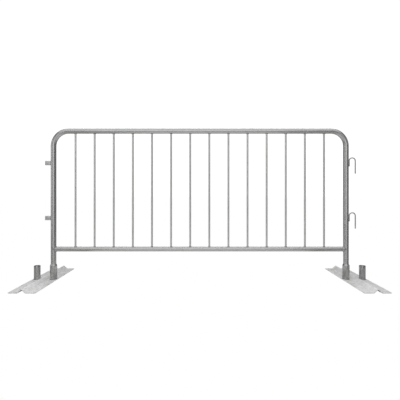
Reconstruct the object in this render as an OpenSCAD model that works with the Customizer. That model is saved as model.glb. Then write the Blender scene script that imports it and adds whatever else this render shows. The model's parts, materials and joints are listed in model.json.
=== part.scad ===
// Crowd control barrier in galvanised steel: one bent tube hoop filled with vertical bars,
// hooks on one leg and eyes on the other to link barriers in a row, and two loose flat feet.
// X runs along the barrier, with the hooks at +X. Y runs along the feet. Z is up from the ground.

/* [Panel] */
// Height of the top of the hoop above the ground
panel_h = 1100; // [900:1:1400]
// Distance between the axes of the two legs
leg_spacing = 2130; // [1400:1:2700]
// Outside diameter of the hoop's tube
hoop_d = 38; // [30:0.5:46]
// Wall of the hoop's tube
hoop_wall = 1.6; // [1:0.1:3]
// Radius of the hoop's two bends, to the middle of the tube
bend_r = 110; // [90:1:130]

/* [Lower rail] */
// Height of the middle of the lower rail above the ground
rail_z = 222; // [180:1:320]
// Outside diameter of the lower rail
rail_d = 35; // [28:0.5:37]
// Wall of the lower rail
rail_wall = 1.6; // [1:0.1:3]

/* [Bars] */
// Number of vertical bars
bar_count = 14; // [8:1:18]
// Diameter of a bar, a solid round rod
bar_d = 13; // [6:0.5:16]
// Distance from a leg's axis to the nearest bar's axis
bar_first = 160; // [140:1:200]

/* [Hooks and eyes] */
// Diameter of the hooks' round rod
hook_rod = 8; // [6:0.5:10]
// Top of the upper hook above the ground
hook_top = 890; // [760:1:950]
// Height of a hook from the top of its arch to its tip
hook_h = 119; // [100:1:150]
// Distance from the upper hook down to the lower one
hook_drop = 400; // [250:1:450]
// Length of the hook's inner leg below the arch, which is welded to the barrier's leg
hook_stem = 40; // [25:1:60]
// Height of an eye's strap
eye_h = 30; // [20:1:40]
// Thickness of an eye's strap
eye_strap = 5; // [3:0.5:6]
// Distance from the leg's axis to the outer end of an eye
eye_reach = 61; // [56:1:70]
// Sideways room for a hook's rod inside an eye
eye_room = 3; // [1:0.5:6]
// Gap between a linked hook's rod and the outer end of the eye's slot
hook_play = 1; // [0.5:0.5:3]
// Height of an eye's middle below the top of the hook that drops into it
eye_below_hook = 42; // [38:1:60]

/* [Feet] */
// Length of a foot, across the barrier
foot_l = 700; // [500:1:900]
// Thickness of a foot's plate
plate_t = 4; // [3:0.5:6]
// Height of the pressed ridge above the ground
ridge_h = 26; // [20:1:34]
// Outside radius of the ridge's crest
crest_r = 9; // [7:0.5:12]
// Radius of the bend where the ridge meets the flat flanges
toe_r = 6; // [3:0.5:8]
// Radius of the plate's four corners, seen from above
corner_r = 12; // [4:1:20]
// Flat left on a flange outside its stub
edge_room = 6.5; // [4:0.5:20]
// Flat left between a stub and the start of the ridge's bend
ridge_room = 7.5; // [5:0.5:10]

/* [Stubs] */
// Distance between the axes of a foot's two stubs, and so between the legs of linked barriers
stub_spacing = 119; // [100:1:150]
// Outside diameter of a stub, a short open tube
stub_d = 45; // [36:0.5:56]
// Wall of a stub
stub_wall = 2.5; // [1.5:0.5:4]
// Top of a stub above the ground
stub_top = 101; // [70:1:130]
// Gap all round between a stub and the widened leg end over it
stub_fit = 0.5; // [0.1:0.1:0.5]
// Straight length of the widened end above the stub's rim
bell_head = 1; // [1:0.5:10]
// Length of the cone from the widened end up to the plain tube
bell_cone = 14; // [12:1:40]

/* [Welds] */
// Size of the weld beads at the bars, the lower rail and the eyes
bead = 2.5; // [1:0.5:3]
// Width of the beads above and below the lower rail's ends
rail_bead_w = 28; // [16:1:30]
// Size of the weld bead round the foot of a stub
stub_bead = 3.5; // [2:0.5:4]
// Depth of the bevel under that bead, on the outside of the stub
stub_bevel = 1; // [0.5:0.1:1]
// Gap left between a hook's stem and the leg, filled by the weld
root_gap = 0.2; // [0.1:0.1:0.5]
// Gap between the widened leg end and the bead under it
rest_gap = 0.3; // [0.3:0.1:1]

/* [Hidden] */
$fn = 64;
cut = 1;

leg_x = leg_spacing / 2;
hoop_r = hoop_d / 2;
hoop_z = panel_h - hoop_r;
rail_r = rail_d / 2;
bar_r = bar_d / 2;
bar_pitch = (leg_spacing - 2 * bar_first) / (bar_count - 1);
bars = [for (i = [1:bar_count]) str("bar_", i < 10 ? "0" : "", i)];

stub_r = stub_d / 2;
bell_z = plate_t + stub_bead + rest_gap;
bell_top = stub_top + bell_head;
bell_inner = stub_r + stub_fit;
bell_outer = bell_inner + hoop_wall;

foot_w = stub_spacing + stub_d + 2 * edge_room;
foot_x = leg_x + stub_spacing / 2;
toe_x = stub_spacing / 2 - stub_r - ridge_room;
crest_z = ridge_h - crest_r;
toe_z = plate_t + toe_r;
toe_reach = norm([toe_x, toe_z - crest_z]);
flank_a = atan2(toe_z - crest_z, toe_x) + acos((crest_r + toe_r) / toe_reach);

rod_r = hook_rod / 2;
stem_x = hoop_r + root_gap + rod_r;
hook_x = stub_spacing - eye_reach + eye_strap + hook_play + rod_r;
arch_r = (hook_x - stem_x) / 2;
arch_drop = arch_r + rod_r;
tip_h = 2;
tip_r = rod_r - 1.2;
eye_slot = hook_rod + 2 * eye_room;
eye_w = eye_slot + 2 * eye_strap;
eye_root = sqrt(hoop_r * hoop_r - eye_w * eye_w / 4);
upper_eye_z = hook_top - eye_below_hook;

zinc_tube = [0.68, 0.69, 0.70];
zinc_rod = [0.64, 0.65, 0.66];
zinc_plate = [0.78, 0.79, 0.79];
zinc_stub = [0.56, 0.57, 0.56];
zinc_weld = [0.60, 0.61, 0.61];

function bar_x(i) = -leg_x + bar_first + i * bar_pitch;

function arc(centre, r, from, to, steps) = [
    for (i = [0:steps])
        let (a = from + (to - from) * i / steps)
        centre + r * [cos(a), sin(a)]
];

// A round bar or bore along X, centred on x = 0 at height z
module along_x(r, length, z) {
    translate([0, 0, z]) rotate([0, 90, 0]) cylinder(r = r, h = length, center = true);
}

// The hoop's run above its widened leg ends, as a solid rod of radius r
module hoop_run(r) {
    straight_z = hoop_z - bend_r;
    low_z = bell_top + bell_cone;
    along_x(r, leg_spacing - 2 * bend_r, hoop_z);
    for (side = [-1, 1]) {
        translate([side * leg_x, 0, low_z]) cylinder(r = r, h = straight_z - low_z);
        translate([side * (leg_x - bend_r), 0, straight_z])
            rotate([90, 0, 0])
            rotate([0, 0, side > 0 ? 0 : 90])
            rotate_extrude(angle = 90)
            translate([bend_r, 0]) circle(r = r);
    }
}

// A leg end widened to slip over a stub, as a solid that starts at height z
module bell(r_wide, r_tube, z) {
    rotate_extrude()
        polygon([
            [0, z], [r_wide, z], [r_wide, bell_top],
            [r_tube, bell_top + bell_cone], [0, bell_top + bell_cone]
        ]);
}

module hoop_tube() {
    color(zinc_tube)
        difference() {
            union() {
                hoop_run(hoop_r);
                for (side = [-1, 1])
                    translate([side * leg_x, 0, 0]) bell(bell_outer, hoop_r, bell_z);
            }
            hoop_run(hoop_r - hoop_wall);
            for (side = [-1, 1])
                translate([side * leg_x, 0, 0]) bell(bell_inner, hoop_r - hoop_wall, bell_z - cut);
        }
}

// The two plain leg tubes as solid rods, for cutting what is coped to them
module leg_cutters(r) {
    for (side = [-1, 1])
        translate([side * leg_x, 0, bell_top + bell_cone]) cylinder(r = r, h = panel_h);
}

module lower_rail() {
    color(zinc_tube)
        difference() {
            along_x(rail_r, leg_spacing, rail_z);
            along_x(rail_r - rail_wall, leg_spacing + cut, rail_z);
            leg_cutters(hoop_r);
        }
}

// One bar from the lower rail up to the hoop's top run, coped to both
module bar(i) {
    color(zinc_rod)
        difference() {
            translate([bar_x(i), 0, rail_z]) cylinder(r = bar_r, h = hoop_z - rail_z);
            along_x(rail_r, leg_spacing, rail_z);
            along_x(hoop_r, leg_spacing, hoop_z);
        }
}

// Square-section beads round every bar where it meets a rail of radius r at height z
module bar_beads(r, z, low_z) {
    for (i = [0:bar_count - 1])
        difference() {
            intersection() {
                translate([bar_x(i), 0, low_z]) cylinder(r = bar_r + bead, h = r + bead);
                along_x(r + bead, leg_spacing, z);
            }
            translate([bar_x(i), 0, low_z - cut]) cylinder(r = bar_r, h = r + bead + 2 * cut);
            along_x(r, leg_spacing + cut, z);
        }
}

module bar_welds_top() {
    color(zinc_weld) bar_beads(hoop_r, hoop_z, hoop_z - hoop_r - bead);
}

module bar_welds_bottom() {
    color(zinc_weld) bar_beads(rail_r, rail_z, rail_z);
}

// Beads above and below the lower rail that follow its joints with the legs
module rail_welds() {
    reach = hoop_r + bead;
    color(zinc_weld)
        difference() {
            intersection() {
                along_x(rail_r + bead, leg_spacing, rail_z);
                leg_cutters(reach);
                translate([0, 0, rail_z]) cube([leg_spacing, rail_bead_w, panel_h], center = true);
            }
            along_x(rail_r, leg_spacing, rail_z);
            leg_cutters(hoop_r);
        }
}

// A round rod bent over: a stem against the right leg, an arch and a straight leg that hangs down
module hook(top_z) {
    arch_z = top_z - arch_drop;
    low_z = top_z - hook_h;
    color(zinc_rod)
        translate([leg_x, 0, 0]) {
            translate([stem_x, 0, arch_z - hook_stem]) cylinder(r = rod_r, h = hook_stem);
            translate([(stem_x + hook_x) / 2, 0, arch_z])
                rotate([90, 0, 0])
                rotate_extrude(angle = 180)
                translate([arch_r, 0]) circle(r = rod_r);
            translate([hook_x, 0, low_z + tip_h]) cylinder(r = rod_r, h = arch_z - low_z - tip_h);
            translate([hook_x, 0, low_z]) cylinder(r1 = tip_r, r2 = rod_r, h = tip_h);
        }
}

// Beads in the two grooves between each hook's stem and the leg
module hook_welds() {
    margin = 3;
    weld_h = hook_stem - 2 * margin;
    root_y = 1;
    groove = [stem_x - hoop_r + 1, rod_r + 1 - root_y, weld_h];
    color(zinc_weld)
        for (top_z = [hook_top, hook_top - hook_drop])
            translate([leg_x, 0, top_z - arch_drop - hook_stem + margin])
            difference() {
                for (side = [-1, 1])
                    translate([stem_x - groove[0] / 2, side * (root_y + groove[1] / 2), weld_h / 2])
                        cube(groove, center = true);
                translate([0, 0, -cut]) cylinder(r = hoop_r, h = weld_h + 2 * cut);
                translate([stem_x, 0, -cut]) cylinder(r = rod_r, h = weld_h + 2 * cut);
            }
}

// The outline of a strap loop, or of its slot, of the given width and rounded end
module loop_outline(width, reach) {
    translate([-reach + width / 2, -width / 2]) square([reach - width / 2, width]);
    translate([-reach + width / 2, 0]) circle(d = width);
}

// A strap bent into a loop and welded to the left leg by its two ends
module eye(z) {
    color(zinc_rod)
        translate([-leg_x, 0, z - eye_h / 2])
        difference() {
            linear_extrude(eye_h) loop_outline(eye_w, eye_reach);
            translate([0, 0, -cut])
                linear_extrude(eye_h + 2 * cut) loop_outline(eye_slot, eye_reach - eye_strap);
            translate([0, 0, -cut]) cylinder(r = hoop_r, h = eye_h + 2 * cut);
        }
}

// Upright beads where the outer faces of each eye's strap meet the leg
module eye_welds() {
    margin = 2;
    weld_h = eye_h - 2 * margin;
    color(zinc_weld)
        for (z = [upper_eye_z, upper_eye_z - hook_drop])
            translate([-leg_x, 0, z - weld_h / 2])
            difference() {
                for (side = [-1, 1])
                    translate([-eye_root - bead, side * (eye_w + bead) / 2 - bead / 2, 0])
                        cube([2 * bead, bead, weld_h]);
                translate([0, 0, -cut]) cylinder(r = hoop_r, h = weld_h + 2 * cut);
            }
}

// Half of the pressed plate's section: over the ridge to the flange's edge, and back underneath
over = concat(
    arc([0, crest_z], crest_r, 90, flank_a, 6),
    arc([toe_x, toe_z], toe_r, 180 + flank_a, 270, 5),
    [[foot_w / 2, plate_t]]
);
under = concat(
    [[foot_w / 2, 0]],
    arc([toe_x, toe_z], toe_r + plate_t, 270, 180 + flank_a, 5),
    arc([0, crest_z], crest_r - plate_t, flank_a, 90, 6)
);
half_section = concat(over, under);
section = concat(
    half_section,
    [for (i = [len(half_section) - 2:-1:1]) [-half_section[i][0], half_section[i][1]]]
);

// A sheet pressed with one ridge along its middle, with round corners
module foot_plate(side) {
    color(zinc_plate)
        translate([side * foot_x, 0, 0])
        intersection() {
            rotate([90, 0, 0]) linear_extrude(foot_l, center = true) polygon(section);
            linear_extrude(ridge_h + cut)
                union() {
                    square([foot_w, foot_l - 2 * corner_r], center = true);
                    square([foot_w - 2 * corner_r, foot_l], center = true);
                    for (x = [-1, 1], y = [-1, 1])
                        translate([x * (foot_w / 2 - corner_r), y * (foot_l / 2 - corner_r)])
                            circle(r = corner_r);
                }
        }
}

// A short open tube standing on the plate, bevelled at its foot for the weld
module stub(x) {
    inner = stub_r - stub_wall;
    stub_h = stub_top - plate_t;
    color(zinc_stub)
        translate([x, 0, plate_t])
        rotate_extrude()
        polygon([
            [inner, 0], [stub_r - stub_bevel, 0], [stub_r, stub_bead],
            [stub_r, stub_h], [inner, stub_h]
        ]);
}

// A three-cornered bead that fills the bevel round the foot of each stub
module stub_welds(side) {
    color(zinc_weld)
        for (x = [leg_x, leg_x + stub_spacing])
            translate([side * x, 0, plate_t])
            rotate_extrude()
            polygon([[stub_r - stub_bevel, 0], [stub_r + stub_bead, 0], [stub_r, stub_bead]]);
}

hoop_tube();
lower_rail();
for (i = [0:bar_count - 1])
    bar(i);
hook(hook_top);  // hook_upper
hook(hook_top - hook_drop);  // hook_lower
eye(upper_eye_z);  // eye_upper
eye(upper_eye_z - hook_drop);  // eye_lower
rail_welds();
bar_welds_top();
bar_welds_bottom();
hook_welds();
eye_welds();
foot_plate(-1);  // left_foot_plate
stub(-leg_x);  // left_inner_stub
stub(-leg_x - stub_spacing);  // left_outer_stub
stub_welds(-1);  // left_stub_welds
foot_plate(1);  // right_foot_plate
stub(leg_x);  // right_inner_stub
stub(leg_x + stub_spacing);  // right_outer_stub
stub_welds(1);  // right_stub_welds
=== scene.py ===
import json
import math

import bpy
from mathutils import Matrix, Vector


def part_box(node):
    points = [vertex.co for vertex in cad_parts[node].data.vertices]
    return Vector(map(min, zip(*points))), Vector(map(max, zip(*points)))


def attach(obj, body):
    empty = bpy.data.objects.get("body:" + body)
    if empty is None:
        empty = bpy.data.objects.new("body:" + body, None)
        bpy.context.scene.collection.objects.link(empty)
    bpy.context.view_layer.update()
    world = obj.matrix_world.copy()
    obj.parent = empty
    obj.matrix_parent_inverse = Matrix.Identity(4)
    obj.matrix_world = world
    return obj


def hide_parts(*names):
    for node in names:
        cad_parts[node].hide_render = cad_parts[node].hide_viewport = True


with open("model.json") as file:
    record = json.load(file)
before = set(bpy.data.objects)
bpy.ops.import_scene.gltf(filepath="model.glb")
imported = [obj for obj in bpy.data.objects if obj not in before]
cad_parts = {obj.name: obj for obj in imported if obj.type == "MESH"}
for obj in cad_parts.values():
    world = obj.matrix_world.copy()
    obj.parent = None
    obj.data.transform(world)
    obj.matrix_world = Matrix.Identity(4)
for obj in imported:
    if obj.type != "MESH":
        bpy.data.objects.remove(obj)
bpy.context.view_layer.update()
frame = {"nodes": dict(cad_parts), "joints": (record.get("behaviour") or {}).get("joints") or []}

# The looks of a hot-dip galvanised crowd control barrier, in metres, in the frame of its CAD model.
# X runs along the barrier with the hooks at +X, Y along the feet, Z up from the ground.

# ---------------------------------------------------------------- sizes

TUBE_R = 0.019
TUBE_WALL = 0.0016
BEND_R = 0.110
CONE_H = 0.014
CONE_START = 0.001
HOOK_STEM = 0.040
STRAP_T = 0.005
STUB_WALL = 0.0025
PLATE_T = 0.004
CREST_R = 0.009
TOE_R = 0.006
RIDGE_ROOM = 0.0075
CORNER_R = 0.012

leg_x = max(joint["pos_m"][0] for joint in frame["joints"])
sides = ("left", "right")
bar_nodes = sorted(name for name in frame["nodes"] if name.startswith("bar_") and name[4:].isdigit())

hoop_low, hoop_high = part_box("hoop_tube")
hoop_z = hoop_high.z - TUBE_R
bell_z = hoop_low.z
bell_r = hoop_high.x - leg_x

rail_low, rail_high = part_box("lower_rail")
rail_r = (rail_high.z - rail_low.z) / 2
rail_z = (rail_high.z + rail_low.z) / 2

stub_low, stub_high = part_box("right_outer_stub")
stub_r = (stub_high.x - stub_low.x) / 2
stub_top = stub_high.z

bar_low, bar_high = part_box(bar_nodes[0])
bar_r = (bar_high.x - bar_low.x) / 2


def middle_x(node):
    low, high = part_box(node)
    return (low.x + high.x) / 2


# ---------------------------------------------------------------- camera, floor and light

CAMERA_HEIGHT = 0.652
CAMERA_DISTANCE = 2.566
LENS = 31.7
HORIZON_SHIFT = -0.025
SIDE_SHIFT = 0.0006
SEEN_WHITE = 1.05
ROOM_WHITE = 0.13
FLOOR_SIZE = 60
FLOOR_COLOUR = (0.62, 0.62, 0.615, 1)
WHITE = (1, 1, 1, 1)


def make_camera():
    """A level camera square on to the panel, its view shifted down to take in the feet."""
    bpy.ops.object.camera_add(
        location=(0, -CAMERA_DISTANCE, CAMERA_HEIGHT), rotation=(math.radians(90), 0, 0)
    )
    camera = bpy.context.object
    camera.name = "camera"
    camera.data.lens = LENS
    camera.data.shift_y = HORIZON_SHIFT
    camera.data.shift_x = SIDE_SHIFT
    camera.data.clip_end = 100
    bpy.context.scene.camera = camera


def soft_panel(name, place, aim, width, height, power):
    """A rectangular soft light at place that faces the point aim."""
    bpy.ops.object.light_add(type="AREA", location=place)
    lamp = bpy.context.object
    lamp.name = name
    lamp.rotation_euler = (Vector(aim) - Vector(place)).to_track_quat("-Z", "Y").to_euler()
    lamp.data.shape = "RECTANGLE"
    lamp.data.size = width
    lamp.data.size_y = height
    lamp.data.energy = power
    lamp.visible_camera = False


def light_studio():
    """Soft light from the front, both sides, overhead and high behind, and a weak one up from the floor."""
    middle = (0, 0, 0.6)
    soft_panel("front_light", (-0.3, -5.0, 1.5), middle, 5.0, 2.6, 42)
    soft_panel("left_light", (-4.5, -1.2, 1.4), middle, 2.0, 2.4, 18)
    soft_panel("right_light", (3.6, -0.6, 1.2), middle, 1.6, 2.0, 4)
    soft_panel("top_light", (0, -1.5, 2.7), (0, -0.6, 0), 6.0, 4.0, 66)
    soft_panel("back_light", (0, 2.2, 3.8), (0, 0, 0.5), 6.0, 1.8, 72)
    soft_panel("floor_reflector", (0, -0.4, 0.01), (0, -0.4, 1), 1.7, 2.6, 4)


def make_surroundings():
    """White all round as the eye sees it, and a dim grey room as the metal sees it."""
    world = bpy.data.worlds.new("studio")
    bpy.context.scene.world = world
    world.use_nodes = True
    tree = world.node_tree
    tree.nodes.clear()
    seen = tree.nodes.new("ShaderNodeBackground")
    seen.inputs["Color"].default_value = WHITE
    seen.inputs["Strength"].default_value = SEEN_WHITE
    room = tree.nodes.new("ShaderNodeBackground")
    room.inputs["Color"].default_value = WHITE
    room.inputs["Strength"].default_value = ROOM_WHITE
    path = tree.nodes.new("ShaderNodeLightPath")
    mix = tree.nodes.new("ShaderNodeMixShader")
    out = tree.nodes.new("ShaderNodeOutputWorld")
    tree.links.new(path.outputs["Is Camera Ray"], mix.inputs["Fac"])
    tree.links.new(room.outputs["Background"], mix.inputs[1])
    tree.links.new(seen.outputs["Background"], mix.inputs[2])
    tree.links.new(mix.outputs["Shader"], out.inputs["Surface"])


def make_floor():
    """A pale floor that looks white to the eye, and that the metal sees as light grey."""
    bpy.ops.object.select_all(action="DESELECT")
    bpy.ops.mesh.primitive_plane_add(size=FLOOR_SIZE, location=(0, 0, 0))
    floor = bpy.context.object
    floor.name = "floor"
    material = bpy.data.materials.new("pale_floor")
    material.use_nodes = True
    tree = material.node_tree
    tree.nodes.clear()
    paint = tree.nodes.new("ShaderNodeBsdfDiffuse")
    paint.inputs["Color"].default_value = FLOOR_COLOUR
    glow = tree.nodes.new("ShaderNodeEmission")
    glow.inputs["Strength"].default_value = 1.0
    path = tree.nodes.new("ShaderNodeLightPath")
    mix = tree.nodes.new("ShaderNodeMixShader")
    out = tree.nodes.new("ShaderNodeOutputMaterial")
    tree.links.new(path.outputs["Is Camera Ray"], mix.inputs["Fac"])
    tree.links.new(paint.outputs["BSDF"], mix.inputs[1])
    tree.links.new(glow.outputs["Emission"], mix.inputs[2])
    tree.links.new(mix.outputs["Shader"], out.inputs["Surface"])
    floor.data.materials.append(material)


# ---------------------------------------------------------------- shared effects

SCRATCH_WAYS = ((1.0, 0.05, 0.4), (0.07, 1.0, 0.9))


def add_node(tree, kind, **settings):
    """A new node of that kind, with its own settings."""
    made = tree.nodes.new("ShaderNode" + kind)
    for key, value in settings.items():
        setattr(made, key, value)
    return made


def feed(tree, source, target):
    """Joins an output to an input, or sets the input when source is a plain value."""
    if isinstance(source, bpy.types.NodeSocket):
        tree.links.new(source, target)
    else:
        target.default_value = source


def calculate(tree, operation, *values, clamp=False):
    """A Math node's result."""
    made = add_node(tree, "Math", operation=operation, use_clamp=clamp)
    for socket, value in zip(made.inputs, values):
        feed(tree, value, socket)
    return made.outputs["Value"]


def fade(tree, value, start, end, low=0.0, high=1.0):
    """Value turned smoothly from low at start to high at end."""
    made = add_node(tree, "MapRange", interpolation_type="SMOOTHSTEP")
    labels = ("Value", "From Min", "From Max", "To Min", "To Max")
    for label, given in zip(labels, (value, start, end, low, high)):
        feed(tree, given, made.inputs[label])
    return made.outputs["Result"]


def blend_colour(tree, amount, first, second):
    """A mix of two colours, all first at 0 and all second at 1."""
    made = add_node(tree, "Mix", data_type="RGBA")
    feed(tree, amount, made.inputs[0])
    feed(tree, first, made.inputs[6])
    feed(tree, second, made.inputs[7])
    return made.outputs[2]


def noise(tree, vector, scale, detail=3.0, roughness=0.55):
    made = add_node(tree, "TexNoise")
    feed(tree, vector, made.inputs["Vector"])
    feed(tree, scale, made.inputs["Scale"])
    made.inputs["Detail"].default_value = detail
    made.inputs["Roughness"].default_value = roughness
    return made.outputs["Fac"]


def stretched(tree, vector, factors):
    """The vector with each axis scaled by its own factor."""
    made = add_node(tree, "VectorMath", operation="MULTIPLY")
    feed(tree, vector, made.inputs[0])
    feed(tree, factors, made.inputs[1])
    return made.outputs["Vector"]


def new_group(name, inputs, outputs):
    """An empty shader node group with named sockets, each input given as (kind, name, usual value)."""
    group = bpy.data.node_groups.new(name, "ShaderNodeTree")
    for kind, label, value in inputs:
        socket = group.interface.new_socket(label, in_out="INPUT", socket_type="NodeSocket" + kind)
        if value is not None:
            socket.default_value = value
    for kind, label in outputs:
        group.interface.new_socket(label, in_out="OUTPUT", socket_type="NodeSocket" + kind)
    return group, group.nodes.new("NodeGroupInput").outputs, group.nodes.new("NodeGroupOutput").inputs


def make_spangle_group():
    """The crystals that zinc sets in: a shade for each, clouded over a wider area, and a faint relief."""
    group, given, result = new_group(
        "zinc_spangle",
        [("Vector", "Vector", None), ("Float", "Crystals", 90.0), ("Float", "Contrast", 0.4),
         ("Float", "Cloud Scale", 9.0), ("Float", "Clouding", 0.6)],
        [("Float", "Shade"), ("Float", "Dullness"), ("Float", "Height")],
    )
    crystal = add_node(group, "TexVoronoi", feature="F1")
    feed(group, given["Vector"], crystal.inputs["Vector"])
    feed(group, given["Crystals"], crystal.inputs["Scale"])
    split = add_node(group, "SeparateColor")
    feed(group, crystal.outputs["Color"], split.inputs["Color"])
    cloud = noise(group, given["Vector"], given["Cloud Scale"], detail=4.0)
    crystal_shade = calculate(group, "SUBTRACT", split.outputs["Red"], 0.5)
    from_crystal = calculate(group, "MULTIPLY", crystal_shade, given["Contrast"])
    cloud_shade = calculate(group, "SUBTRACT", cloud, 0.5)
    from_cloud = calculate(group, "MULTIPLY", cloud_shade, given["Clouding"])
    total = calculate(group, "ADD", from_crystal, from_cloud)
    feed(group, calculate(group, "ADD", total, 0.5, clamp=True), result["Shade"])
    dull = calculate(group, "MULTIPLY", split.outputs["Green"], given["Contrast"])
    feed(group, calculate(group, "ADD", dull, cloud), result["Dullness"])
    feed(group, crystal.outputs["Distance"], result["Height"])
    return group


def make_runs_group():
    """Soft runs left where the zinc drained off: a mask of long streaks and their slight thickness."""
    group, given, result = new_group(
        "zinc_runs",
        [("Vector", "Vector", None), ("Vector", "Stretch", (1.0, 1.0, 0.06)), ("Float", "Scale", 70.0),
         ("Float", "Cut", 0.55)],
        [("Float", "Mask"), ("Float", "Height")],
    )
    streak = noise(group, stretched(group, given["Vector"], given["Stretch"]), given["Scale"], detail=2.0)
    feed(group, fade(group, streak, given["Cut"], calculate(group, "ADD", given["Cut"], 0.2)), result["Mask"])
    feed(group, streak, result["Height"])
    return group


def make_grime_and_shade_group():
    """Dirt splashed up from the ground, with painted shade near the ground: strongest at the bottom, patchy,
    thicker on faces that look up.
    """
    group, given, result = new_group(
        "ground_grime_and_shade",
        [("Vector", "Vector", None), ("Float", "Reach", 0.12), ("Float", "Patch Scale", 28.0),
         ("Float", "Amount", 0.5)],
        [("Float", "Mask")],
    )
    split = add_node(group, "SeparateXYZ")
    feed(group, given["Vector"], split.inputs["Vector"])
    low = fade(group, split.outputs["Z"], given["Reach"], 0.0)
    patch = fade(group, noise(group, given["Vector"], given["Patch Scale"], detail=5.0), 0.35, 0.7)
    facing = add_node(group, "NewGeometry")
    facing_split = add_node(group, "SeparateXYZ")
    feed(group, facing.outputs["Normal"], facing_split.inputs["Vector"])
    upward = fade(group, facing_split.outputs["Z"], -0.2, 1.0, low=0.55)
    spread = calculate(group, "MULTIPLY", calculate(group, "MULTIPLY", low, patch), upward)
    feed(group, calculate(group, "MULTIPLY", spread, given["Amount"], clamp=True), result["Mask"])
    return group


def make_scuff_group():
    """Fine scratches in two directions, broken up so that they come in patches."""
    group, given, result = new_group(
        "scuffs",
        [("Vector", "Vector", None), ("Float", "Scale", 160.0), ("Float", "Amount", 0.4)],
        [("Float", "Mask")],
    )
    masks = []
    for factors in SCRATCH_WAYS:
        line = noise(group, stretched(group, given["Vector"], factors), given["Scale"], detail=1.0)
        masks.append(fade(group, line, 0.62, 0.72))
    patch = fade(group, noise(group, given["Vector"], 14.0), 0.45, 0.65)
    either = calculate(group, "MAXIMUM", masks[0], masks[1])
    patchy = calculate(group, "MULTIPLY", either, patch)
    feed(group, calculate(group, "MULTIPLY", patchy, given["Amount"]), result["Mask"])
    return group


spangle_group = make_spangle_group()
runs_group = make_runs_group()
grime_and_shade_group = make_grime_and_shade_group()
scuff_group = make_scuff_group()


def place_group(tree, group, vector, **values):
    """The group in a material, fed with vector and given its own values, named with _ for a space."""
    made = add_node(tree, "Group", node_tree=group)
    feed(tree, vector, made.inputs["Vector"])
    for label, value in values.items():
        made.inputs[label.replace("_", " ")].default_value = value
    return made.outputs


# ---------------------------------------------------------------- materials

# Dark colour for the mask near the ground: dirt, and painted shade at the feet of the legs, stubs and welds.
GRIME_AND_SHADE_COLOUR = (0.16, 0.15, 0.13, 1)
SCUFF_COLOUR = (0.78, 0.79, 0.78, 1)
GRIME_AND_SHADE_DULLS = 0.12
GRIME_AND_SHADE_HIDES_METAL = 0.6
SCUFF_POLISH = 0.1
GRAIN_SCALE = 1400.0
GRAIN_HEIGHT = 0.06
RUN_HEIGHT = 1.6
CRYSTAL_HEIGHT = 0.35
RELIEF_DEPTH = 0.0006


def make_zinc(name, light, dark, crystals, contrast, smooth, rough, runs, grime_and_shade, scuffs, relief, metallic):
    """Galvanised steel between two greys and two roughnesses, with its crystals, runs, grime with painted
    shade near the ground, and scuffs.
    """
    material = bpy.data.materials.new(name)
    material.use_nodes = True
    tree = material.node_tree
    shader = tree.nodes["Principled BSDF"]
    vector = add_node(tree, "TexCoord").outputs["Object"]

    spangle = place_group(tree, spangle_group, vector, Crystals=crystals, Contrast=contrast)
    run = place_group(tree, runs_group, vector, Stretch=runs[0], Scale=runs[1])
    dirt_and_shade = place_group(tree, grime_and_shade_group, vector, Reach=grime_and_shade[0], Amount=grime_and_shade[1])
    scratch = place_group(tree, scuff_group, vector, Amount=scuffs)

    zinc = blend_colour(tree, spangle["Shade"], dark, light)
    shaded = blend_colour(tree, calculate(tree, "MULTIPLY", run["Mask"], runs[2]), zinc, dark)
    scuffed = blend_colour(tree, scratch["Mask"], shaded, SCUFF_COLOUR)
    # Base colour darkened towards the ground by the grime mask: dirt and painted shade.
    feed(tree, blend_colour(tree, dirt_and_shade["Mask"], scuffed, GRIME_AND_SHADE_COLOUR), shader.inputs["Base Color"])

    clean = fade(tree, spangle["Dullness"], 0.2, 0.9, smooth, rough)
    dulled = calculate(tree, "MULTIPLY", dirt_and_shade["Mask"], GRIME_AND_SHADE_DULLS)
    dirty = calculate(tree, "ADD", clean, dulled)
    polished = calculate(tree, "MULTIPLY", scratch["Mask"], SCUFF_POLISH)
    feed(tree, calculate(tree, "SUBTRACT", dirty, polished), shader.inputs["Roughness"])
    hidden = calculate(tree, "MULTIPLY", dirt_and_shade["Mask"], GRIME_AND_SHADE_HIDES_METAL)
    feed(tree, calculate(tree, "SUBTRACT", metallic, hidden), shader.inputs["Metallic"])

    grain = noise(tree, vector, GRAIN_SCALE, detail=2.0)
    run_relief = calculate(tree, "MULTIPLY", run["Height"], RUN_HEIGHT)
    crystal_relief = calculate(tree, "MULTIPLY", spangle["Height"], CRYSTAL_HEIGHT)
    lumps = calculate(tree, "ADD", run_relief, crystal_relief)
    grain_relief = calculate(tree, "MULTIPLY", grain, GRAIN_HEIGHT)
    bump = add_node(tree, "Bump")
    bump.inputs["Strength"].default_value = relief
    bump.inputs["Distance"].default_value = RELIEF_DEPTH
    feed(tree, calculate(tree, "ADD", lumps, grain_relief), bump.inputs["Height"])
    feed(tree, bump.outputs["Normal"], shader.inputs["Normal"])
    return material


def grey(value):
    return (value, value, value, 1)


# the axis along which drained zinc ran, as the stretch of its pattern
UPRIGHT = (1.0, 1.0, 0.05)
ALONG_Y = (1.0, 0.05, 1.0)


def tube_zinc():
    # Grime mask at full strength up to 0.13 m above the ground: dirt and painted shade at the legs' feet.
    return make_zinc(
        "galvanised_tube", grey(0.56), grey(0.41), crystals=110.0, contrast=0.18, smooth=0.25, rough=0.30,
        runs=(UPRIGHT, 70.0, 0.35), grime_and_shade=(0.13, 1.0), scuffs=0.1, relief=0.08, metallic=0.95,
    )


def rod_zinc():
    return make_zinc(
        "galvanised_rod", grey(0.68), grey(0.53), crystals=160.0, contrast=0.3, smooth=0.34, rough=0.42,
        runs=(UPRIGHT, 120.0, 0.3), grime_and_shade=(0.02, 0.3), scuffs=0.2, relief=0.2, metallic=0.95,
    )


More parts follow.
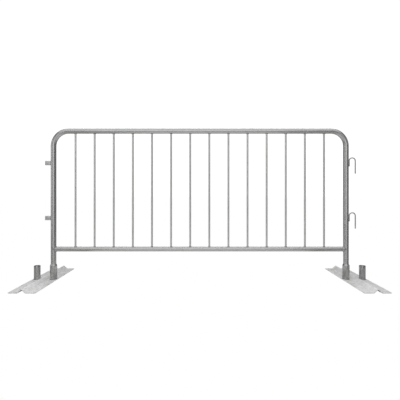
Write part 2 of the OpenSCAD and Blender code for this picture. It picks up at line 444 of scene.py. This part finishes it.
def hook_zinc():
    return make_zinc(
        "galvanised_hook", grey(0.56), grey(0.38), crystals=160.0, contrast=0.35, smooth=0.28, rough=0.48,
        runs=(UPRIGHT, 120.0, 0.3), grime_and_shade=(0.02, 0.3), scuffs=0.5, relief=0.35, metallic=0.95,
    )


def strap_zinc():
    return make_zinc(
        "galvanised_strap", grey(0.66), grey(0.50), crystals=140.0, contrast=0.4, smooth=0.34, rough=0.5,
        runs=(UPRIGHT, 120.0, 0.3), grime_and_shade=(0.02, 0.3), scuffs=0.5, relief=0.35, metallic=0.8,
    )


# Near white and mostly diffuse, much brighter than the tubes' zinc: painted light on the up-facing plates.
def plate_zinc_painted_bright():
    return make_zinc(
        "galvanised_plate", grey(0.98), grey(0.80), crystals=85.0, contrast=0.75, smooth=0.36, rough=0.58,
        runs=(ALONG_Y, 60.0, 0.6), grime_and_shade=(0.03, 0.2), scuffs=0.3, relief=0.2, metallic=0.18,
    )


def stub_zinc():
    # Grime mask up to 0.06 m above the ground: dirt and painted shade at the stubs' feet.
    return make_zinc(
        "galvanised_stub", grey(0.52), grey(0.36), crystals=110.0, contrast=0.4, smooth=0.14, rough=0.28,
        runs=(UPRIGHT, 90.0, 0.4), grime_and_shade=(0.06, 0.8), scuffs=0.5, relief=0.3, metallic=0.95,
    )


def weld_zinc():
    return make_zinc(
        "galvanised_weld", grey(0.42), grey(0.26), crystals=240.0, contrast=0.5, smooth=0.35, rough=0.55,
        runs=(UPRIGHT, 200.0, 0.3), grime_and_shade=(0.04, 0.7), scuffs=0.1, relief=0.5, metallic=0.9,
    )


ZINC = {
    "tube": tube_zinc(),
    "rod": rod_zinc(),
    "hook": hook_zinc(),
    "strap": strap_zinc(),
    "plate": plate_zinc_painted_bright(),
    "stub": stub_zinc(),
    "weld": weld_zinc(),
}


# ---------------------------------------------------------------- modelling

TINY = 0.00001
SMOOTH_BELOW = 40


def open_primitive(name, add, **size):
    """A primitive at its size and place, its object at the origin, open for editing and all selected."""
    bpy.ops.object.select_all(action="DESELECT")
    add(**size)
    piece = bpy.context.object
    piece.name = name
    bpy.ops.object.transform_apply(location=True, rotation=True, scale=True)
    bpy.ops.object.mode_set(mode="EDIT")
    bpy.ops.mesh.select_all(action="SELECT")
    return piece


def draw_out(x=0.0, y=0.0, z=0.0):
    """Extrudes what is selected by that step."""
    bpy.ops.mesh.extrude_region_move(TRANSFORM_OT_translate={"value": (x, y, z)})


def resize_ring(factor, centre):
    bpy.ops.transform.resize(value=(factor, factor, 1), center_override=centre)


def sweep(degrees, centre, axis, steps):
    """Spins what is selected about an axis through centre."""
    bpy.ops.mesh.spin(steps=steps, angle=-math.radians(degrees), center=centre, axis=axis, dupli=False)


def close_shape():
    """Merges doubles, turns all faces outwards and leaves edit mode."""
    bpy.ops.mesh.select_all(action="SELECT")
    bpy.ops.mesh.remove_doubles(threshold=TINY)
    bpy.ops.mesh.normals_make_consistent(inside=False)
    bpy.ops.object.mode_set(mode="OBJECT")


def fill_open_ends():
    bpy.ops.mesh.select_all(action="DESELECT")
    bpy.ops.mesh.select_non_manifold(
        extend=False, use_wire=False, use_multi_face=False, use_non_contiguous=False, use_verts=False
    )
    bpy.ops.mesh.edge_face_add()


def apply_modifier(piece, kind, **settings):
    modifier = piece.modifiers.new(kind, kind)
    for key, value in settings.items():
        setattr(modifier, key, value)
    bpy.context.view_layer.objects.active = piece
    bpy.ops.object.modifier_apply(modifier=modifier.name)


def round_edges(piece, width, segments=2, angle=40):
    apply_modifier(
        piece, "BEVEL", width=width, segments=segments, limit_method="ANGLE", angle_limit=math.radians(angle)
    )


def settle(piece, body, slot, zinc, *nodes):
    """Smooth shading, its zinc, and the piece's place in the frame."""
    bpy.ops.object.select_all(action="DESELECT")
    piece.select_set(True)
    bpy.context.view_layer.objects.active = piece
    bpy.ops.object.shade_smooth_by_angle(angle=math.radians(SMOOTH_BELOW))
    piece.data.materials.clear()
    piece.data.materials.append(ZINC[zinc])
    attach(piece, body)
    if nodes:
        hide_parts(*nodes)


def copy_piece(piece, name, x=0.0, y=0.0, z=0.0):
    """A copy with its own mesh, moved by that step."""
    bpy.ops.object.select_all(action="DESELECT")
    piece.select_set(True)
    bpy.context.view_layer.objects.active = piece
    bpy.ops.object.duplicate(linked=False)
    made = bpy.context.object
    made.name = name
    bpy.ops.transform.translate(value=(x, y, z))
    bpy.ops.object.transform_apply(location=True, rotation=True, scale=True)
    return made


# ---------------------------------------------------------------- hoop

RING = 48
BEND_STEPS = 24
RIM_EDGE = 0.0004


def flare(centre_x, start_z, step, start_r, end_r, steps=6):
    """Draws the selected ring along Z by step in all, its radius turning smoothly from start_r to end_r."""
    radius = start_r
    for count in range(1, steps + 1):
        share = count / steps
        eased = share * share * (3 - 2 * share)
        wanted = start_r + (end_r - start_r) * eased
        draw_out(z=step / steps)
        resize_ring(wanted / radius, (centre_x, 0, start_z + step * share))
        radius = wanted


def make_hoop():
    """One tube bent twice, with both ends widened to slip over the feet's stubs."""
    bend_z = hoop_z - BEND_R
    cone_z = stub_top + CONE_START
    hoop = open_primitive(
        "hoop", bpy.ops.mesh.primitive_circle_add, vertices=RING, radius=bell_r, location=(-leg_x, 0, bell_z)
    )
    draw_out(z=cone_z - bell_z)
    flare(-leg_x, cone_z, CONE_H, bell_r, TUBE_R)
    draw_out(z=bend_z - cone_z - CONE_H)
    sweep(90, (-leg_x + BEND_R, 0, bend_z), (0, 1, 0), BEND_STEPS)
    draw_out(x=2 * (leg_x - BEND_R))
    sweep(90, (leg_x - BEND_R, 0, bend_z), (0, 1, 0), BEND_STEPS)
    draw_out(z=-(bend_z - cone_z - CONE_H))
    flare(leg_x, cone_z + CONE_H, -CONE_H, TUBE_R, bell_r)
    draw_out(z=-(cone_z - bell_z))
    close_shape()
    apply_modifier(hoop, "SOLIDIFY", thickness=TUBE_WALL, offset=-1, use_even_offset=True)
    round_edges(hoop, RIM_EDGE)
    settle(hoop, "panel", "galvanised_tube", "tube", "hoop_tube")


# ---------------------------------------------------------------- hooks and eyes

ROD_RING = 24
ROD_CHAMFER = 0.0006
TIP_SHARE = 0.6
TIP_FLAT = 0.35
TIP_STEPS = 6
ARCH_STEPS = 28
STRAP_LET_IN = 0.0035
STRAP_EDGE = 0.0008

def make_hook(name, node):
    """A round rod bent over, with a rounded tip and a chamfered stem."""
    low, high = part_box(node)
    rod_r = (high.y - low.y) / 2
    stem_x = low.x + rod_r
    tip_x = high.x - rod_r
    arch_r = (tip_x - stem_x) / 2
    arch_z = high.z - arch_r - rod_r
    stem_z = arch_z - HOOK_STEM
    hook = open_primitive(
        name, bpy.ops.mesh.primitive_circle_add, vertices=ROD_RING, radius=rod_r - ROD_CHAMFER,
        location=(stem_x, 0, stem_z),
    )
    draw_out(z=ROD_CHAMFER)
    resize_ring(rod_r / (rod_r - ROD_CHAMFER), (stem_x, 0, stem_z + ROD_CHAMFER))
    draw_out(z=arch_z - stem_z - ROD_CHAMFER)
    sweep(180, (stem_x + arch_r, 0, arch_z), (0, 1, 0), ARCH_STEPS)
    tip_h = TIP_SHARE * rod_r
    draw_out(z=low.z + tip_h - arch_z)
    radius = rod_r
    depth = 0.0
    for count in range(1, TIP_STEPS):
        turn = math.radians(90 * count / TIP_STEPS)
        drop = tip_h * math.sin(turn)
        draw_out(z=depth - drop)
        wanted = rod_r * (TIP_FLAT + (1 - TIP_FLAT) * math.cos(turn))
        resize_ring(wanted / radius, (tip_x, 0, low.z + tip_h - drop))
        radius = wanted
        depth = drop
    fill_open_ends()
    close_shape()
    settle(hook, "panel", "galvanised_link", "hook", node)


def make_eye(name, node):
    """A flat strap bent into a loop, its two ends let into the leg's wall."""
    low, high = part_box(node)
    width = high.y - low.y
    turn_x = low.x + width / 2
    root_x = -leg_x - TUBE_R + STRAP_LET_IN
    root = (root_x, (width - STRAP_T) / 2, (low.z + high.z) / 2)
    eye = open_primitive(
        name, bpy.ops.mesh.primitive_plane_add, size=1, location=root, rotation=(0, math.radians(90), 0)
    )
    bpy.ops.transform.resize(value=(1, STRAP_T, high.z - low.z), center_override=root)
    bpy.ops.mesh.delete(type="ONLY_FACE")
    bpy.ops.mesh.select_all(action="SELECT")
    draw_out(x=turn_x - root_x)
    sweep(180, (turn_x, 0, low.z), (0, 0, 1), ARCH_STEPS)
    draw_out(x=root_x - turn_x)
    fill_open_ends()
    close_shape()
    round_edges(eye, STRAP_EDGE, segments=3, angle=50)
    settle(eye, "panel", "galvanised_link", "strap", node)


# ---------------------------------------------------------------- weld beads

BAR_BEAD_R = 0.0019
RAIL_BEAD_R = 0.0022
HOOK_BEAD_R = 0.0025
EYE_BEAD_R = 0.0021
STUB_BEAD_R = 0.0024
BEAD_OFF = 0.0009
RAIL_BEAD_OFF = 0.0007
STUB_BEAD_OFF = 0.0008
EYE_BEAD_OFF = 0.0004
EYE_BEAD_OUT = 0.0008
BAR_BEAD_POINTS = 32
RAIL_BEAD_POINTS = 88
STUB_BEAD_POINTS = 112
RIPPLE = 0.16
RIPPLE_STEPS = (0.0, 0.35, 0.8, 1.0)
RIPPLE_PITCH = 0.0056
BEAD_END = 0.45
HOOK_BEAD_Y = 0.0033
HOOK_BEAD_MARGIN = 0.003
EYE_BEAD_MARGIN = 0.002

def rippled_bead(name, points, radius, closed):
    """A weld bead along the points, thick and thin by turns, as a mesh."""
    curve = bpy.data.curves.new(name, "CURVE")
    curve.dimensions = "3D"
    curve.bevel_depth = radius
    curve.bevel_resolution = 3
    curve.use_fill_caps = not closed
    spline = curve.splines.new("POLY")
    spline.points.add(len(points) - 1)
    spline.use_cyclic_u = closed
    for index, (point, place) in enumerate(zip(spline.points, points)):
        point.co = (*place, 1)
        point.radius = 1.0 - RIPPLE * RIPPLE_STEPS[index % len(RIPPLE_STEPS)]
        at_end = not closed and index in (0, len(points) - 1)
        point.radius *= BEAD_END if at_end else 1.0
    bead = bpy.data.objects.new(name, curve)
    bpy.context.scene.collection.objects.link(bead)
    bpy.ops.object.select_all(action="DESELECT")
    bead.select_set(True)
    bpy.context.view_layer.objects.active = bead
    bpy.ops.object.convert(target="MESH")
    return bpy.context.object


def join_pieces(name, pieces):
    bpy.ops.object.select_all(action="DESELECT")
    for piece in pieces:
        piece.select_set(True)
    bpy.context.view_layer.objects.active = pieces[0]
    bpy.ops.object.join()
    made = bpy.context.object
    made.name = name
    bpy.ops.object.mode_set(mode="EDIT")
    close_shape()
    return made


def circle_angles(count):
    return [2 * math.pi * index / count for index in range(count)]


def make_bar_beads(name, node, tube_r, tube_z, up):
    """A bead round every bar where it meets a tube along X, on the tube's upper or lower side."""
    path_r = bar_r + BEAD_OFF

    def ring(x):
        places = []
        for angle in circle_angles(BAR_BEAD_POINTS):
            y = path_r * math.sin(angle)
            height = math.sqrt(tube_r ** 2 - y ** 2) + BEAD_OFF
            places.append((x + path_r * math.cos(angle), y, tube_z + up * height))
        return places

    first = rippled_bead(name, ring(middle_x(bar_nodes[0])), BAR_BEAD_R, closed=True)
    pieces = [first]
    for bar in bar_nodes[1:]:
        step = middle_x(bar) - middle_x(bar_nodes[0])
        pieces.append(copy_piece(first, name + "_copy", x=step))
    settle(join_pieces(name, pieces), "panel", "galvanised_weld", "weld", node)


def make_rail_beads():
    """A saddle-shaped bead round each end of the lower rail, where it meets a leg."""
    path_r = rail_r + RAIL_BEAD_OFF
    pieces = []
    for side in (-1, 1):
        places = []
        for angle in circle_angles(RAIL_BEAD_POINTS):
            y = path_r * math.cos(angle)
            reach = math.sqrt(max(TUBE_R ** 2 - y ** 2, 0.0)) + BEAD_OFF
            places.append((side * (leg_x - reach), y, rail_z + path_r * math.sin(angle)))
        pieces.append(rippled_bead("rail_bead", places, RAIL_BEAD_R, closed=True))
    settle(join_pieces("rail_end_beads", pieces), "panel", "galvanised_weld", "weld", "rail_welds")


def upright_bead(name, x, y, low_z, high_z, radius):
    """A straight bead up a groove, with four points to a ripple."""
    count = len(RIPPLE_STEPS) * round((high_z - low_z) / RIPPLE_PITCH) + 1
    places = [(x, y, low_z + (high_z - low_z) * index / (count - 1)) for index in range(count)]
    return rippled_bead(name, places, radius, closed=False)


def make_hook_beads():
    """Two upright beads in the grooves between each hook's stem and the leg."""
    pieces = []
    for node in ("hook_upper", "hook_lower"):
        low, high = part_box(node)
        rod_r = (high.y - low.y) / 2
        stem_x = low.x + rod_r
        arch_r = (high.x - low.x) / 2 - rod_r
        arch_z = high.z - arch_r - rod_r
        bottom = arch_z - HOOK_STEM + HOOK_BEAD_MARGIN
        top = arch_z - HOOK_BEAD_MARGIN
        for side in (-1, 1):
            x = (stem_x - rod_r + stem_x) / 2
            pieces.append(upright_bead("hook_bead", x, side * HOOK_BEAD_Y, bottom, top, HOOK_BEAD_R))
    settle(join_pieces("hook_beads", pieces), "panel", "galvanised_weld", "weld", "hook_welds")


def make_eye_beads():
    """An upright bead on the outside of each end of the eyes' straps."""
    pieces = []
    for node in ("eye_upper", "eye_lower"):
        low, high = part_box(node)
        half = (high.y - low.y) / 2
        x = -leg_x - math.sqrt(TUBE_R ** 2 - half ** 2) - EYE_BEAD_OUT
        bottom = low.z + EYE_BEAD_MARGIN
        top = high.z - EYE_BEAD_MARGIN
        for side in (-1, 1):
            pieces.append(upright_bead("eye_bead", x, side * (half + EYE_BEAD_OFF), bottom, top, EYE_BEAD_R))
    settle(join_pieces("eye_beads", pieces), "panel", "galvanised_weld", "weld", "eye_welds")


def make_stub_beads(side_name):
    """A bead round the foot of each of a foot plate's two stubs."""
    path_r = stub_r + STUB_BEAD_OFF
    pieces = []
    for which in ("inner", "outer"):
        centre = middle_x(f"{side_name}_{which}_stub")
        places = [
            (centre + path_r * math.cos(angle), path_r * math.sin(angle), PLATE_T + STUB_BEAD_OFF)
            for angle in circle_angles(STUB_BEAD_POINTS)
        ]
        pieces.append(rippled_bead("stub_bead", places, STUB_BEAD_R, closed=True))
    settle(
        join_pieces(f"{side_name}_stub_beads", pieces), f"{side_name}_foot", "galvanised_weld",
        "weld", f"{side_name}_stub_welds",
    )


# ---------------------------------------------------------------- feet

TOE_STEPS = 8
CREST_STEPS = 14
CORNER_STEPS = 6
SHEET_EDGE = 0.0007
STUB_EDGE = 0.0007

def make_plate(side_name):
    """Sheet pressed with one ridge along its middle: a flange, a bend, a flank, the crest, and back down."""
    node = f"{side_name}_foot_plate"
    low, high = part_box(node)
    centre = (low.x + high.x) / 2
    half = (high.x - low.x) / 2
    length = high.y - low.y
    stub_offset = abs(middle_x(f"{side_name}_outer_stub") - centre)
    toe_x = stub_offset - stub_r - RIDGE_ROOM
    toe_z = PLATE_T + TOE_R
    crest_z = high.z - CREST_R
    apart = math.hypot(toe_x, toe_z - crest_z)
    lean = math.atan2(toe_z - crest_z, toe_x) + math.acos((CREST_R + TOE_R) / apart)
    turn = 90 - math.degrees(lean)
    under_toe = TOE_R + PLATE_T
    under_crest = CREST_R - PLATE_T
    flank_x = toe_x - under_toe * math.cos(lean) - under_crest * math.cos(lean)
    flank_z = crest_z + under_crest * math.sin(lean) - toe_z + under_toe * math.sin(lean)

    flange = (centre - (half + toe_x) / 2, 0, 0)
    plate = open_primitive(
        f"{side_name}_plate", bpy.ops.mesh.primitive_plane_add, size=1, location=flange
    )
    bpy.ops.transform.resize(value=(half - toe_x, length, 1), center_override=flange)
    select_edges_at(plate, centre - toe_x)
    sweep(-turn, (centre - toe_x, 0, toe_z), (0, 1, 0), TOE_STEPS)
    draw_out(x=flank_x, z=flank_z)
    sweep(2 * turn, (centre, 0, crest_z), (0, 1, 0), CREST_STEPS)
    draw_out(x=flank_x, z=-flank_z)
    sweep(-turn, (centre + toe_x, 0, toe_z), (0, 1, 0), TOE_STEPS)
    draw_out(x=half - toe_x)
    round_corners(plate)
    close_shape()
    apply_modifier(plate, "SOLIDIFY", thickness=PLATE_T, offset=-1, use_even_offset=True)
    round_edges(plate, SHEET_EDGE, angle=55)
    settle(plate, f"{side_name}_foot", "galvanised_plate", "plate", node)


def select_edges_at(piece, x):
    """Selects only the edges that lie in the plane at x."""
    bpy.ops.mesh.select_all(action="DESELECT")
    bpy.ops.object.mode_set(mode="OBJECT")
    for edge in piece.data.edges:
        edge.select = all(abs(piece.data.vertices[v].co.x - x) < TINY for v in edge.vertices)
    for vertex in piece.data.vertices:
        vertex.select = abs(vertex.co.x - x) < TINY
    bpy.ops.object.mode_set(mode="EDIT")


def round_corners(plate):
    """Rounds the sheet's four corners, seen from above."""
    bpy.ops.mesh.select_all(action="DESELECT")
    bpy.ops.object.mode_set(mode="OBJECT")
    xs = [vertex.co.x for vertex in plate.data.vertices]
    for vertex in plate.data.vertices:
        vertex.select = vertex.co.x < min(xs) + TINY or vertex.co.x > max(xs) - TINY
    bpy.ops.object.mode_set(mode="EDIT")
    bpy.ops.mesh.bevel(offset=CORNER_R, segments=CORNER_STEPS, affect="VERTICES")


def make_stub(node, body):
    """A short open tube with its rims rounded over."""
    stub = open_primitive(
        node.replace("_stub", "_stub_tube"), bpy.ops.mesh.primitive_circle_add, vertices=RING, radius=stub_r,
        location=(middle_x(node), 0, PLATE_T),
    )
    draw_out(z=stub_top - PLATE_T)
    close_shape()
    apply_modifier(stub, "SOLIDIFY", thickness=STUB_WALL, offset=-1, use_even_offset=True)
    round_edges(stub, STUB_EDGE, segments=3)
    settle(stub, body, "galvanised_stub", "stub", node)


# ---------------------------------------------------------------- the barrier

def dress_node(name, zinc):
    """A CAD node that keeps its shape gets its zinc."""
    mesh = frame["nodes"][name].data
    mesh.materials.clear()
    mesh.materials.append(ZINC[zinc])


make_camera()
make_floor()
light_studio()
make_surroundings()
bpy.context.scene.view_settings.view_transform = "Standard"

make_hoop()
dress_node("lower_rail", "tube")
for bar in bar_nodes:
    dress_node(bar, "rod")
for level in ("upper", "lower"):
    make_hook(f"{level}_hook_rod", f"hook_{level}")
    make_eye(f"{level}_eye_strap", f"eye_{level}")
make_bar_beads("bar_beads_top", "bar_welds_top", TUBE_R, hoop_z, up=-1)
make_bar_beads("bar_beads_bottom", "bar_welds_bottom", rail_r, rail_z, up=1)
make_rail_beads()
make_hook_beads()
make_eye_beads()
for side in sides:
    make_plate(side)
    for which in ("inner", "outer"):
        make_stub(f"{side}_{which}_stub", f"{side}_foot")
    make_stub_beads(side)
